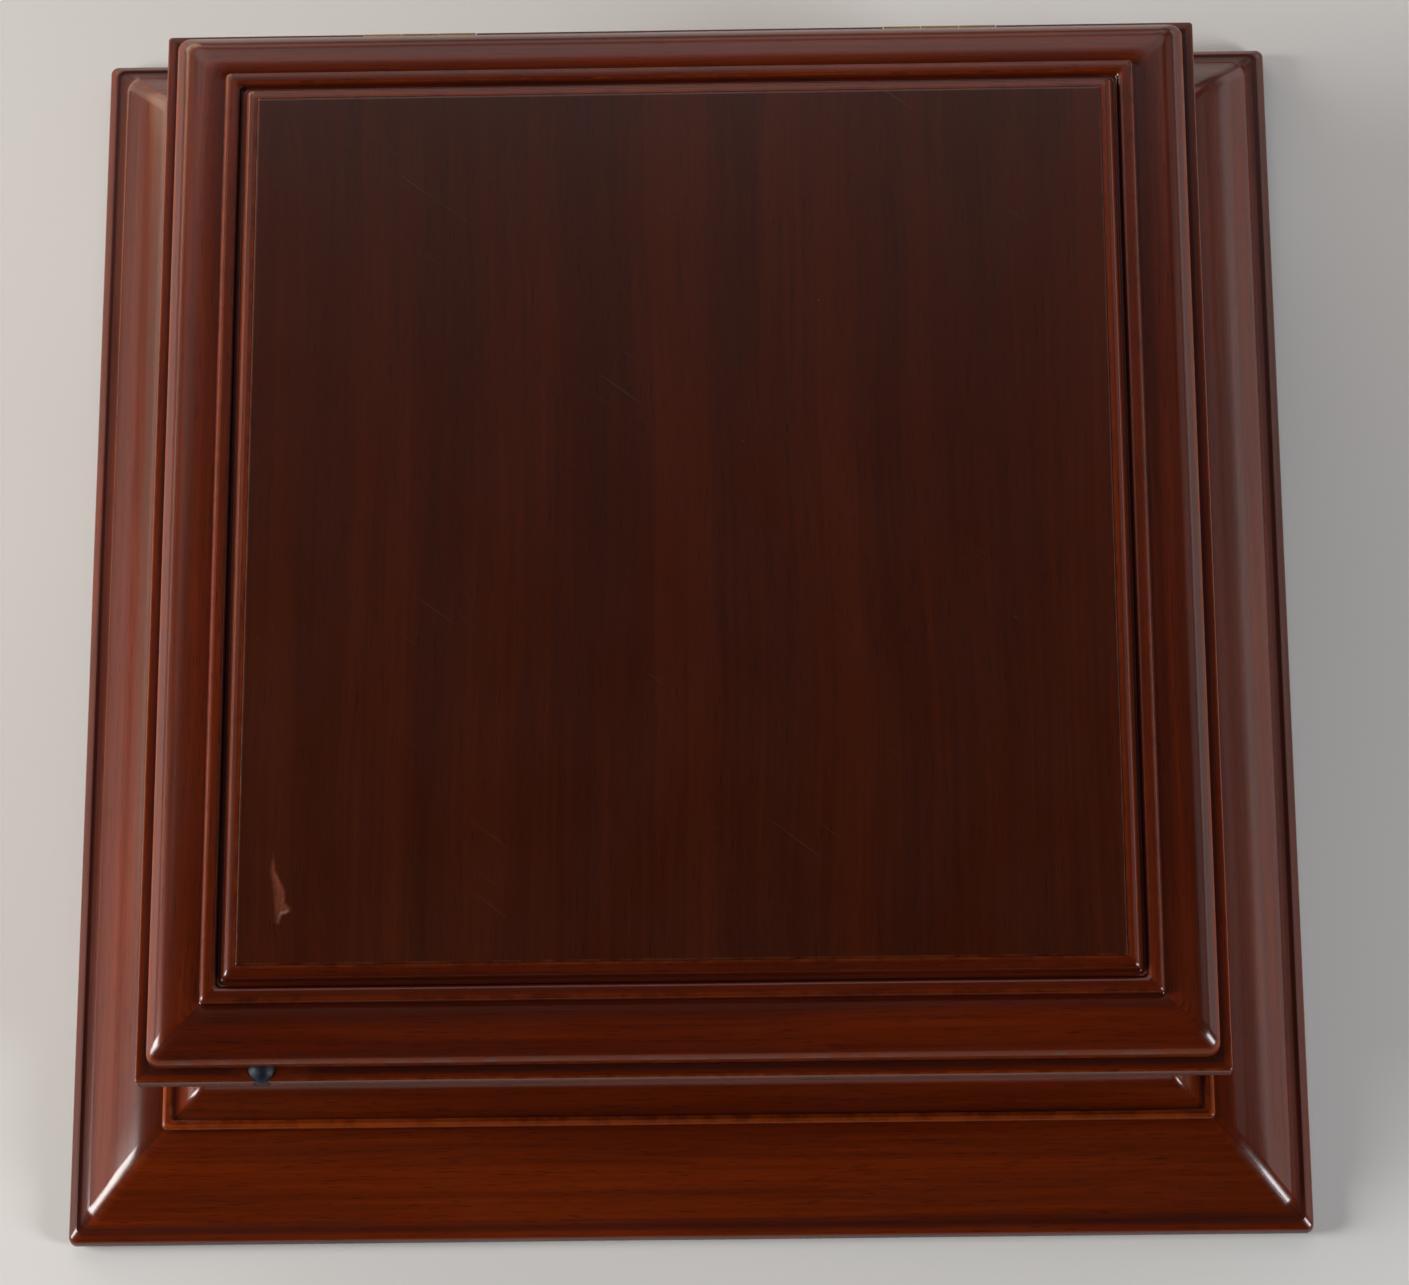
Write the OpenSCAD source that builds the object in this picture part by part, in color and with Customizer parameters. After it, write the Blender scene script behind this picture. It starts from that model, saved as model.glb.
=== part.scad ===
// Desk press blotter: a square mahogany case with stepped mouldings and a hinged, panelled lid.
// Millimetres, +Z up, front at -Y. The origin is on the desk, under the middle of the panel.
// Mouldings are drawn as [offset, height]: offset runs outwards from the edge of the lid panel.

/* [Lid] */
// Width of the flat panel in the lid
panel_w = 224; // [200:1:260]
// Depth of the flat panel in the lid
panel_d = 243; // [220:1:280]
// Height of the panel's face above the desk
panel_top = 81.8; // [78:0.1:92]
// Width of the lid frame outside the panel
frame_w = 22.85; // [22:0.05:23.2]
// Height of the lid frame below the panel's face
frame_h = 14; // [13.5:0.1:14.5]

/* [Case] */
// Thickness of the case walls
wall_t = 10.5; // [9:0.5:11]
// Offset of the outside of the walls from the panel edge
wall_out = 12; // [11.5:0.1:12.5]
// Offset of the edge of the rim that the lid closes on
rim_out = 26; // [25.5:0.1:28]
// Thickness of the rim
rim_t = 4.2; // [4:0.1:5.4]
// Gap between the rim and the closed lid
lid_gap = 0.4; // [0.3:0.1:0.6]

/* [Base] */
// Offset of the outer face of the base moulding
base_out = 49.8; // [49:0.1:56]
// Height of the outer face of the base moulding
base_face_h = 2.5; // [2:0.1:4]
// Height above the desk of the bead on top of the base moulding
bead_top = 21.8; // [21:0.1:24]
// Thickness of the felt feet below the base moulding
foot_t = 1.5; // [1:0.5:2]

/* [Blotting] */
// Width of the blotting pad
pad_w = 200; // [180:1:204]
// Depth of the blotting pad
pad_d = 238; // [200:1:240]
// Thickness of the blotting pad
pad_t = 12; // [6:1:14]
// Thickness of the felt linings
felt_t = 1.5; // [1:0.5:2]
// Thickness of the blotting sheet under the lid
sheet_t = 0.6; // [0.4:0.1:1]
// Thickness of the press board under the lid
press_t = 9; // [7:0.5:10]

/* [Hinges] */
// Distance of each hinge from the middle of the case
hinge_x = 70; // [50:1:85]
// Length of a hinge along its pin
hinge_len = 30; // [24:1:40]
// Outer radius of the hinge knuckles
knuckle_r = 1.6; // [1.55:0.05:1.7]
// Radius of the hinge pins
pin_r = 0.8; // [0.7:0.05:0.9]

/* [Hidden] */

// Sides in the order in which a member is turned round Z from the back, clockwise from above
BACK = 0;
RIGHT = 1;
FRONT = 2;
LEFT = 3;

// Largest turn between two points of a drawn arc, in degrees
arc_step = 12;
// Length added to a cutter so that it passes its face
over = 1;
// Slack between a hole and the screw, key or pin fixed in it
fixed_slack = 0.02;
// Running clearance between a hinge pin and the knuckles that turn on it
running_slack = 0.05;

half_w = panel_w / 2;
half_d = panel_d / 2;
lid_under = panel_top - frame_h;
rim_top = lid_under - lid_gap;
rim_under = rim_top - rim_t;
wall_in = wall_out - wall_t;

// Panel: a raised face with a tongue that floats in the groove of the lid frame
panel_t = 8.6;
tongue_w = 5;
tongue_t = 4;
tongue_top = panel_top - 4.6;
groove_slack = 0.1;
panel_slack = 0.05;

// Lid frame: small rounded step, groove, bead, and the large rounded edge
step_w = 3.3;
step_h = 3.9;
bead_in = 4.7;
lid_bead_out = 9;
lid_bead_top = panel_top - 2.1;
round_top = panel_top - 4.2;

// Press board and what it carries
press_edge = -0.8;
press_top = panel_top - panel_t;
press_under = press_top - press_t;
sheet_under = press_under - felt_t - sheet_t;
clamp_w = 7;
clamp_t = 1.2;
clamp_len = 226;
clamp_clear = 2.7;
clamp_x = pad_w / 2 + clamp_clear + clamp_w / 2;
press_felt_w = 2 * (clamp_x + clamp_w / 2);
press_felt_d = 236;

// Case interior, from the pad down
press_clear = 0.4;
pad_top = sheet_under - press_clear;
bed_felt_top = pad_top - pad_t;
bed_top = bed_felt_top - felt_t;
bed_t = 10;
felt_clear = 0.3;
bearer_h = 14;
bearer_w = 24;
bearer_x = 72;
bottom_t = 8;
bearer_bottom = bed_top - bed_t - bearer_h;
bottom_under = bearer_bottom - bottom_t;

// Cove with its bead, which stands on the base moulding
bead_out = 24.3;
bead_r = 1.2;
cove_under = bead_top - 2.5;
cove_foot = bead_out - 2.2;
cove_dip = 1;
cove_rise = 12;
cove_top_w = 1;

// Base moulding: level shoulder, fall, hollow and arris above the outer face
shoulder_out = 30;
shoulder_drop = 0.7;
fall_out = 44.4;
fall_h = 6.9;
hollow_out = 46.6;
hollow_h = 6;
arris_out = 47.6;
arris_h = foot_t + 4.6;

// Hinges
hinge_w = 12;
leaf_t = 1;
leaf_gap = 0.05;
axis_out = 24;
axis_y = half_d + axis_out;
axis_z = (lid_under + rim_top) / 2;
leaf_in = axis_y - knuckle_r - hinge_w;
leaf_strap = 0.3;
leaf_edge = axis_y - knuckle_r - leaf_strap;
leaf_screw_x = 9.6;
leaf_screw_in = 3.6;
leaf_screw_out = 8.2;
lid_knuckle_len = 10;
knuckle_gap = 0.2;
notch_clear = 0.25;
recess_clear = 0.05;

// Bumper: a rubber ball held in the front edge of the rim, with room for it in the lid
bumper_r = 4;
bumper_x = -106.1;
bumper_out = 22.6;
bumper_z = rim_top - 2;
bumper_clear = 0.3;
bumper_shank_r = 1.5;
bumper_shank_len = 7;
bumper_shank_z = rim_top - rim_t / 2;

// Wood screws
screw_d = 3;
screw_head_d = 6;
screw_head_h = 1.6;
slot_w = 0.7;
slot_depth = 0.7;
lid_screw_len = 7;
rim_screw_len = 3.8;
press_screw_len = 14;
clamp_screw_len = 8;
bottom_screw_len = 16;
press_screw_x = 70;
press_screw_y = 80;
clamp_screw_pitch = 100;
bottom_screw_pitch = 84;

// Points of the arc of radius r that rounds the corner b between a and c
function turn(a, b, c, r) =
    let (
        u = (a - b) / norm(a - b),
        v = (c - b) / norm(c - b),
        half = acos(u * v) / 2,
        centre = b + (u + v) / norm(u + v) * r / sin(half),
        first = b + u * r / tan(half) - centre,
        last = b + v * r / tan(half) - centre,
        start = atan2(first[1], first[0]),
        swing = atan2(cross(first, last), first * last),
        steps = ceil(abs(swing) / arc_step)
    )
    [for (i = [0 : steps]) centre + r * [cos(start + swing * i / steps), sin(start + swing * i / steps)]];

// An outline of [offset, height] points, where a third number rounds that corner
function outline(pts) = [
    for (i = [0 : len(pts) - 1])
        let (
            n = len(pts),
            a = pts[(i + n - 1) % n],
            b = pts[i],
            c = pts[(i + 1) % n]
        )
            each b[2] == undef ? [b] : turn([a[0], a[1]], [b[0], b[1]], [c[0], c[1]], b[2])
];

lid_frame_profile = outline([
    [0, panel_top - 0.3],
    [step_w, panel_top - 0.3, 2.6],
    [step_w, panel_top - step_h, 0.4],
    [bead_in, panel_top - step_h, 0.4],
    [bead_in, lid_bead_top, 1.5],
    [lid_bead_out, lid_bead_top, 1.5],
    [lid_bead_out, round_top - 0.5, 0.3],
    [13, round_top, 20],
    [frame_w - 3.6, round_top - 1, 7],
    [frame_w, round_top - 5, 4],
    [frame_w, lid_under, 2.4],
    [0, lid_under],
    [0, tongue_top - tongue_t - groove_slack],
    [tongue_w + 0.2, tongue_top - tongue_t - groove_slack],
    [tongue_w + 0.2, tongue_top + groove_slack],
    [0, tongue_top + groove_slack]
]);

rim_profile = outline([
    [wall_in, rim_under],
    [rim_out, rim_under, 0.8],
    [rim_out, rim_top, 0.8],
    [wall_in, rim_top]
]);

wall_profile = [
    [wall_in, bottom_under], [wall_out, bottom_under], [wall_out, rim_under], [wall_in, rim_under]
];

cove_profile = outline([
    [wall_out, cove_under],
    [bead_out - 0.6, cove_under],
    [bead_out, cove_under + 1, 0.6],
    [bead_out, bead_top, bead_r],
    [cove_foot, bead_top, 0.3],
    [cove_foot - 0.3, bead_top - cove_dip, 0.3],
    [wall_out + cove_top_w, bead_top - cove_dip, 8.2],
    [wall_out + cove_top_w, bead_top - cove_dip + cove_rise],
    [wall_out, bead_top - cove_dip + cove_rise]
]);

base_profile = outline([
    [wall_out, foot_t],
    [base_out, foot_t, 0.3],
    [base_out, foot_t + base_face_h, 1.8],
    [arris_out, arris_h, 0.5],
    [hollow_out, hollow_h, 1],
    [fall_out, fall_h, 3],
    [shoulder_out, cove_under - shoulder_drop, 14],
    [bead_out + 0.6, cove_under],
    [wall_out, cove_under]
]);

// Plan of one mitred member, with its length along X and its outside towards +Y
module mitre_plan(along, across) {
    inner = 30;
    outer = 60;
    polygon([
        [-(along - inner), across - inner], [along - inner, across - inner],
        [along + outer, across + outer], [-(along + outer), across + outer]
    ]);
}

// One moulded member on the given side, mitred at both ends
module member(profile, side) {
    along = side % 2 == 0 ? half_w : half_d;
    across = side % 2 == 0 ? half_d : half_w;
    rotate([0, 0, -90 * side])
    intersection() {
        translate([0, across, 0])
        rotate([90, 0, 90])
        linear_extrude(2 * (along + 60), center = true)
        polygon(profile);
        linear_extrude(2 * panel_top)
        mitre_plan(along, across);
    }
}

// A solid bounded by two heights with its edge at the given offset from the panel edge
module board(edge, low, high) {
    translate([-half_w - edge, -half_d - edge, low])
    cube([panel_w + 2 * edge, panel_d + 2 * edge, high - low]);
}

module slab(w, d, low, high) {
    translate([-w / 2, -d / 2, low])
    cube([w, d, high - low]);
}

// Countersunk screw with its head's face at the origin and its point towards -Z
module screw(len, slack = 0) {
    r = screw_d / 2 + slack;
    head_r = screw_head_d / 2 + slack;
    difference() {
        union() {
            translate([0, 0, -len])
            cylinder(h = len, r = r, $fn = 24);
            translate([0, 0, -screw_head_h])
            cylinder(h = screw_head_h, r1 = r, r2 = head_r, $fn = 32);
        }
        if (slack == 0)
            translate([-screw_head_d / 2, -slot_w / 2, -slot_depth])
            cube([screw_head_d, slot_w, slot_depth + over]);
    }
}

module at_corners(x, y) {
    for (sx = [-1, 1], sy = [-1, 1])
        translate([sx * x, sy * y, 0])
        children();
}

// Mitre keys lie across the corners of the lid frame
module mitre_keys(slack = 0) {
    key_len = 18;
    key_w = 6;
    key_t = 2.4;
    key_offset = 13.2;
    for (sx = [-1, 1], sy = [-1, 1])
        translate([sx * (half_w + key_offset), sy * (half_d + key_offset), lid_under + 2.2 - slack])
        rotate([0, 0, -45 * sx * sy])
        translate([-key_len / 2 - slack, -key_w / 2 - slack, 0])
        cube([key_len + 2 * slack, key_w + 2 * slack, key_t + 2 * slack]);
}

module hinge_sites() {
    for (s = [-1, 1])
        translate([s * hinge_x, 0, 0])
        children();
}

// Heads of the screws through a hinge leaf, in plan
module leaf_screw_sites() {
    for (i = [-1, 1])
        translate([i * leaf_screw_x, leaf_in + leaf_screw_in, 0])
        children();
    translate([0, leaf_in + leaf_screw_out, 0])
    children();
}

module knuckle(from, to, bore_r) {
    translate([from, axis_y, axis_z])
    rotate([0, 90, 0])
    difference() {
        cylinder(h = to - from, r = knuckle_r, $fn = 48);
        translate([0, 0, -over])
        cylinder(h = to - from + 2 * over, r = bore_r, $fn = 32);
    }
}

// Bore of a knuckle, cut through the strap that joins it to its leaf
module pin_hole(r) {
    translate([-hinge_len / 2 - over, axis_y, axis_z])
    rotate([0, 90, 0])
    cylinder(h = hinge_len + 2 * over, r = r, $fn = 32);
}

module lid_frame(side) {
    color([0.30, 0.09, 0.04])
    difference() {
        member(lid_frame_profile, side);
        mitre_keys(fixed_slack);
        if (side == FRONT)
            bumper_ball(bumper_clear);
        if (side == BACK) {
            hinge_sites() {
                translate([-hinge_len / 2 - recess_clear, leaf_in - recess_clear, lid_under - over])
                cube([
                    hinge_len + 2 * recess_clear,
                    2 * hinge_w,
                    over + leaf_t - lid_gap / 2 + leaf_gap + fixed_slack
                ]);
                leaf_screw_sites()
                translate([0, 0, axis_z + leaf_gap])
                mirror([0, 0, 1])
                screw(lid_screw_len, fixed_slack);
            }
        }
    }
}

module rim(side) {
    color([0.26, 0.08, 0.04])
    difference() {
        member(rim_profile, side);
        if (side == BACK) {
            hinge_sites() {
                translate([
                    -hinge_len / 2 - recess_clear,
                    leaf_in - recess_clear,
                    axis_z - leaf_gap - leaf_t - fixed_slack
                ])
                cube([hinge_len + 2 * recess_clear, 2 * hinge_w, 2 * leaf_t]);
                translate([-hinge_len / 2 - notch_clear, leaf_edge, axis_z - knuckle_r - notch_clear])
                cube([hinge_len + 2 * notch_clear, hinge_w, 2 * knuckle_r]);
                leaf_screw_sites()
                translate([0, 0, axis_z - leaf_gap])
                screw(rim_screw_len, fixed_slack);
            }
        }
        if (side == FRONT)
            bumper(fixed_slack);
        rim_buffer_discs(fixed_slack);
    }
}

module wall(side) {
    color([0.28, 0.09, 0.05])
    member(wall_profile, side);
}

module cove(side) {
    color([0.33, 0.10, 0.05])
    member(cove_profile, side);
}

module base(side) {
    color([0.33, 0.10, 0.05])
    difference() {
        member(base_profile, side);
        felt_feet_discs(fixed_slack);
    }
}

module lid_panel() {
    color([0.16, 0.06, 0.04])
    difference() {
        union() {
            board(-panel_slack, press_top, panel_top);
            board(tongue_w, tongue_top - tongue_t, tongue_top);
        }
        press_screw_sites()
        screw(press_screw_len, fixed_slack);
    }
}

module lid_mitre_keys() {
    color([0.30, 0.12, 0.07])
    mitre_keys();
}

module press_screw_sites() {
    at_corners(press_screw_x, press_screw_y)
    translate([0, 0, press_under])
    mirror([0, 0, 1])
    children();
}

module press_board() {
    color([0.55, 0.38, 0.22])
    difference() {
        board(press_edge, press_under, press_top);
        press_screw_sites()
        screw(press_screw_len, fixed_slack);
        clamp_screw_sites()
        screw(clamp_screw_len, fixed_slack);
    }
}

module press_board_screws() {
    color([0.6, 0.6, 0.62])
    press_screw_sites()
    screw(press_screw_len);
}

module press_felt() {
    color([0.08, 0.20, 0.13])
    difference() {
        slab(press_felt_w, press_felt_d, press_under - felt_t, press_under);
        clamp_screw_sites()
        screw(clamp_screw_len, fixed_slack);
    }
}

module press_sheet() {
    color([0.88, 0.84, 0.74])
    difference() {
        slab(press_felt_w, press_felt_d - 4, sheet_under, press_under - felt_t);
        clamp_screw_sites()
        screw(clamp_screw_len, fixed_slack);
    }
}

module clamp_screw_sites() {
    for (sx = [-1, 1], y = [-1, 0, 1] * clamp_screw_pitch)
        translate([sx * clamp_x, y, sheet_under - clamp_t])
        mirror([0, 0, 1])
        children();
}

module sheet_clamp(side) {
    color([0.72, 0.55, 0.25])
    difference() {
        translate([side * clamp_x - clamp_w / 2, -clamp_len / 2, sheet_under - clamp_t])
        cube([clamp_w, clamp_len, clamp_t]);
        clamp_screw_sites()
        screw(clamp_screw_len, fixed_slack);
    }
}

module sheet_clamp_screws() {
    color([0.72, 0.55, 0.25])
    clamp_screw_sites()
    screw(clamp_screw_len);
}

module lid_hinge_leaves() {
    color([0.72, 0.55, 0.25])
    hinge_sites()
    difference() {
        union() {
            translate([-hinge_len / 2, leaf_in, axis_z + leaf_gap])
            cube([hinge_len, leaf_edge - leaf_in, leaf_t]);
            translate([-lid_knuckle_len / 2, leaf_edge, axis_z + leaf_gap])
            cube([lid_knuckle_len, axis_y - leaf_edge, leaf_t]);
            knuckle(-lid_knuckle_len / 2, lid_knuckle_len / 2, pin_r + running_slack);
        }
        pin_hole(pin_r + running_slack);
        leaf_screw_sites()
        translate([0, 0, axis_z + leaf_gap])
        mirror([0, 0, 1])
        screw(lid_screw_len, fixed_slack);
    }
}

module lid_hinge_screws() {
    color([0.72, 0.55, 0.25])
    hinge_sites()
    leaf_screw_sites()
    translate([0, 0, axis_z + leaf_gap])
    mirror([0, 0, 1])
    screw(lid_screw_len);
}

module case_hinge_leaves() {
    outer_from = lid_knuckle_len / 2 + knuckle_gap;
    color([0.72, 0.55, 0.25])
    hinge_sites()
    difference() {
        union() {
            translate([-hinge_len / 2, leaf_in, axis_z - leaf_gap - leaf_t])
            cube([hinge_len, leaf_edge - leaf_in, leaf_t]);
            for (s = [-1, 1]) {
                from = s > 0 ? outer_from : -hinge_len / 2;
                to = s > 0 ? hinge_len / 2 : -outer_from;
                translate([from, leaf_edge, axis_z - leaf_gap - leaf_t])
                cube([to - from, axis_y - leaf_edge, leaf_t]);
                knuckle(from, to, pin_r + fixed_slack);
            }
        }
        pin_hole(pin_r + fixed_slack);
        leaf_screw_sites()
        translate([0, 0, axis_z - leaf_gap])
        screw(rim_screw_len, fixed_slack);
    }
}

module case_hinge_screws() {
    color([0.72, 0.55, 0.25])
    hinge_sites()
    leaf_screw_sites()
    translate([0, 0, axis_z - leaf_gap])
    screw(rim_screw_len);
}

module hinge_pins() {
    color([0.66, 0.50, 0.22])
    hinge_sites()
    translate([-hinge_len / 2, axis_y, axis_z])
    rotate([0, 90, 0])
    cylinder(h = hinge_len, r = pin_r, $fn = 32);
}

// Small discs let into the rim that the closed lid rests over
module rim_buffer_discs(slack = 0) {
    disc_r = 3;
    disc_depth = 1.4;
    disc_proud = lid_gap - 0.1;
    disc_inset = 30;
    at_corners(half_w + wall_out / 2, half_d - disc_inset)
    translate([0, 0, rim_top - disc_depth - slack])
    cylinder(h = disc_depth + disc_proud + slack, r = disc_r + slack, $fn = 32);
}

module rim_buffers() {
    color([0.05, 0.05, 0.06])
    rim_buffer_discs();
}

module bumper_ball(slack = 0) {
    translate([bumper_x, -half_d - bumper_out, bumper_z])
    sphere(r = bumper_r + slack, $fn = 40);
}

module bumper(slack = 0) {
    bumper_ball(slack);
    translate([bumper_x, -half_d - bumper_out, bumper_shank_z])
    rotate([-90, 0, 0])
    cylinder(h = bumper_shank_len + slack, r = bumper_shank_r + slack, $fn = 24);
}

module front_bumper() {
    color([0.05, 0.06, 0.09])
    bumper();
}

// Corner blocks glued inside the hollow of the base
module base_glue_blocks() {
    block = 34;
    top = bottom_under;
    low = foot_t + 2;
    color([0.55, 0.38, 0.22])
    for (sx = [-1, 1], sy = [-1, 1])
        translate([sx * (half_w + wall_out), sy * (half_d + wall_out), low])
        linear_extrude(top - low)
        polygon([[0, 0], [-sx * block, 0], [0, -sy * block]]);
}

module bottom_screw_sites() {
    for (sx = [-1, 1], y = [-1, 0, 1] * bottom_screw_pitch)
        translate([sx * bearer_x, y, bottom_under])
        mirror([0, 0, 1])
        children();
}

module bottom_board() {
    color([0.50, 0.34, 0.20])
    difference() {
        board(wall_in, bottom_under, bearer_bottom);
        bottom_screw_sites()
        screw(bottom_screw_len, fixed_slack);
    }
}

module bottom_screws() {
    color([0.6, 0.6, 0.62])
    bottom_screw_sites()
    screw(bottom_screw_len);
}

module bed_bearers() {
    color([0.60, 0.42, 0.25])
    difference() {
        for (s = [-1, 1])
            translate([s * bearer_x - bearer_w / 2, -half_d - wall_in, bearer_bottom])
            cube([bearer_w, panel_d + 2 * wall_in, bearer_h]);
        bottom_screw_sites()
        screw(bottom_screw_len, fixed_slack);
    }
}

module bed_board() {
    color([0.55, 0.38, 0.22])
    board(wall_in, bed_top - bed_t, bed_top);
}

module bed_felt() {
    color([0.08, 0.20, 0.13])
    board(wall_in - felt_clear, bed_top, bed_felt_top);
}

module blotting_pad() {
    color([0.88, 0.84, 0.74])
    slab(pad_w, pad_d, bed_felt_top, pad_top);
}

module felt_feet_discs(slack = 0) {
    foot_r = 9;
    foot_seat = 0.8;
    foot_inset = 20;
    at_corners(half_w + base_out - foot_inset, half_d + base_out - foot_inset)
    cylinder(h = foot_t + foot_seat + slack, r = foot_r + slack, $fn = 48);
}

module felt_feet() {
    color([0.08, 0.20, 0.13])
    felt_feet_discs();
}

lid_panel();
lid_frame(FRONT);  // lid_frame_front
lid_frame(BACK);  // lid_frame_back
lid_frame(LEFT);  // lid_frame_left
lid_frame(RIGHT);  // lid_frame_right
lid_mitre_keys();
press_board();
press_board_screws();
press_felt();
press_sheet();
sheet_clamp(-1);  // sheet_clamp_left
sheet_clamp(1);  // sheet_clamp_right
sheet_clamp_screws();
lid_hinge_leaves();
lid_hinge_screws();
rim(FRONT);  // rim_front
rim(BACK);  // rim_back
rim(LEFT);  // rim_left
rim(RIGHT);  // rim_right
rim_buffers();
front_bumper();
wall(FRONT);  // wall_front
wall(BACK);  // wall_back
wall(LEFT);  // wall_left
wall(RIGHT);  // wall_right
cove(FRONT);  // cove_front
cove(BACK);  // cove_back
cove(LEFT);  // cove_left
cove(RIGHT);  // cove_right
base(FRONT);  // base_front
base(BACK);  // base_back
base(LEFT);  // base_left
base(RIGHT);  // base_right
base_glue_blocks();
bottom_board();
bottom_screws();
bed_bearers();
bed_board();
bed_felt();
blotting_pad();
case_hinge_leaves();
case_hinge_screws();
hinge_pins();
felt_feet();
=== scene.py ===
"""Looks of a desk press blotter: a square mahogany case with stepped mouldings and a hinged, panelled lid.

Metres, +Z up, front at -Y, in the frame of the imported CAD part. The outlines of the mouldings are in
millimetres, as (distance out from the edge of the lid panel, height above the desk).
"""

import math
import random

import bmesh
import bpy
from mathutils import Matrix, Vector, noise


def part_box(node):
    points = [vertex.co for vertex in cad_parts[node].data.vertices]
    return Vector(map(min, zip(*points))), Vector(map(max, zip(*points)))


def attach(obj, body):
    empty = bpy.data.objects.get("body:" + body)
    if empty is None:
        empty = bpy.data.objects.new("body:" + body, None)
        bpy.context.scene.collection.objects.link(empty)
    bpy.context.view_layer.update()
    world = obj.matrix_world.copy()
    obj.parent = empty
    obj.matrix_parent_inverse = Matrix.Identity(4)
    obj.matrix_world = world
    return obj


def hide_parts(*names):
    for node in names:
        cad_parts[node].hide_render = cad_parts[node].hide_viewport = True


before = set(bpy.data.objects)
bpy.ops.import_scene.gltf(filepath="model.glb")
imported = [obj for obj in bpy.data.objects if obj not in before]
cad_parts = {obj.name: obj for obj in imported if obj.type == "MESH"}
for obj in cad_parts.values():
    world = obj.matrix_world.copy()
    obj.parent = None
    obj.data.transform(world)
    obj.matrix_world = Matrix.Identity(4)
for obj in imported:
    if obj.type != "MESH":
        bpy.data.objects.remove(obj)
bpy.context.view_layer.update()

MM = 0.001
BACK, RIGHT, FRONT, LEFT = range(4)
SIDE_NAMES = ("back", "right", "front", "left")

# ---------------------------------------------------------------- sizes taken from the CAD part

TONGUE_W = 5 * MM
TONGUE_T = 4
panel_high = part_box("lid_panel")[1]
HALF_W = panel_high.x - TONGUE_W
HALF_D = panel_high.y - TONGUE_W


def heights(node):
    """Lowest and highest point of a CAD node, in millimetres."""
    low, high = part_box(node)
    return low.z / MM, high.z / MM


def reach(node):
    """How far a right-hand member stands out from the edge of the lid panel, in millimetres."""
    return (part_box(node)[1].x - HALF_W) / MM


PANEL_UNDER, PANEL_TOP = heights("lid_panel")
LID_UNDER = heights("lid_frame_front")[0]
RIM_UNDER, RIM_TOP = heights("rim_front")
WALL_UNDER, WALL_TOP = heights("wall_front")
COVE_UNDER, COVE_TOP = heights("cove_front")
BASE_UNDER, BASE_TOP = heights("base_front")
FRAME_OUT = reach("lid_frame_right")
RIM_OUT = reach("rim_right")
WALL_OUT = reach("wall_right")
BEAD_OUT = reach("cove_right")
BASE_OUT = reach("base_right")
WALL_IN = (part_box("wall_right")[0].x - HALF_W) / MM
BEAD_TOP = COVE_UNDER + 2.5
SHELF = BEAD_TOP - 1
ROUND_TOP = PANEL_TOP - 4.2
TONGUE_TOP = PANEL_TOP - 4.5

# ---------------------------------------------------------------- moulding outlines


def outline(points, step=8, longest=1.7):
    """Closed outline in metres; a third number rounds that corner, and long runs are divided."""
    out = []
    for i, point in enumerate(points):
        b = Vector(point[:2])
        if len(point) == 2:
            out.append(b)
            continue
        to_a = (Vector(points[i - 1][:2]) - b).normalized()
        to_c = (Vector(points[(i + 1) % len(points)][:2]) - b).normalized()
        half = to_a.angle(to_c) / 2
        centre = b + (to_a + to_c).normalized() * point[2] / math.sin(half)
        first = b + to_a * point[2] / math.tan(half) - centre
        last = b + to_c * point[2] / math.tan(half) - centre
        swing = math.atan2(first.cross(last), first.dot(last))
        steps = max(3, math.ceil(abs(swing) / math.radians(step)))
        out += [centre + Matrix.Rotation(swing * k / steps, 2) @ first for k in range(steps + 1)]
    dense = []
    for a, b in zip(out, out[1:] + out[:1]):
        parts = max(1, math.ceil((b - a).length / longest))
        dense += [a.lerp(b, k / parts) * MM for k in range(parts)]
    return dense


LID_FRAME = outline([
    (0, PANEL_TOP - 0.3), (3.3, PANEL_TOP - 0.3, 2.6), (3.3, PANEL_TOP - 3.3, 0.6), (4.7, PANEL_TOP - 3.3, 0.6),
    (4.7, PANEL_TOP - 2.1, 1.5), (9, PANEL_TOP - 2.1, 1.5), (9, ROUND_TOP - 0.5, 0.3), (13, ROUND_TOP, 20),
    (FRAME_OUT - 3.6, ROUND_TOP - 1, 7), (FRAME_OUT, ROUND_TOP - 5, 4), (FRAME_OUT, LID_UNDER, 1.6),
    (0, LID_UNDER), (0, TONGUE_TOP - TONGUE_T - 0.2), (TONGUE_W / MM + 0.2, TONGUE_TOP - TONGUE_T - 0.2),
    (TONGUE_W / MM + 0.2, TONGUE_TOP), (0, TONGUE_TOP),
])
RIM = outline([
    (WALL_IN, RIM_UNDER), (RIM_OUT, RIM_UNDER, 0.6), (RIM_OUT, RIM_TOP, 0.5), (WALL_IN, RIM_TOP),
])
WALL = outline([
    (WALL_IN, WALL_UNDER), (WALL_OUT, WALL_UNDER), (WALL_OUT, WALL_TOP), (WALL_IN, WALL_TOP),
])
COVE = outline([
    (WALL_OUT, COVE_UNDER), (BEAD_OUT - 0.6, COVE_UNDER), (BEAD_OUT, COVE_UNDER + 1, 0.6),
    (BEAD_OUT, BEAD_TOP, 1.2), (BEAD_OUT - 2.2, BEAD_TOP, 0.3), (BEAD_OUT - 2.5, SHELF, 0.3),
    (WALL_OUT + 1, SHELF, 8.2), (WALL_OUT + 1, COVE_TOP), (WALL_OUT, COVE_TOP),
])
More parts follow.
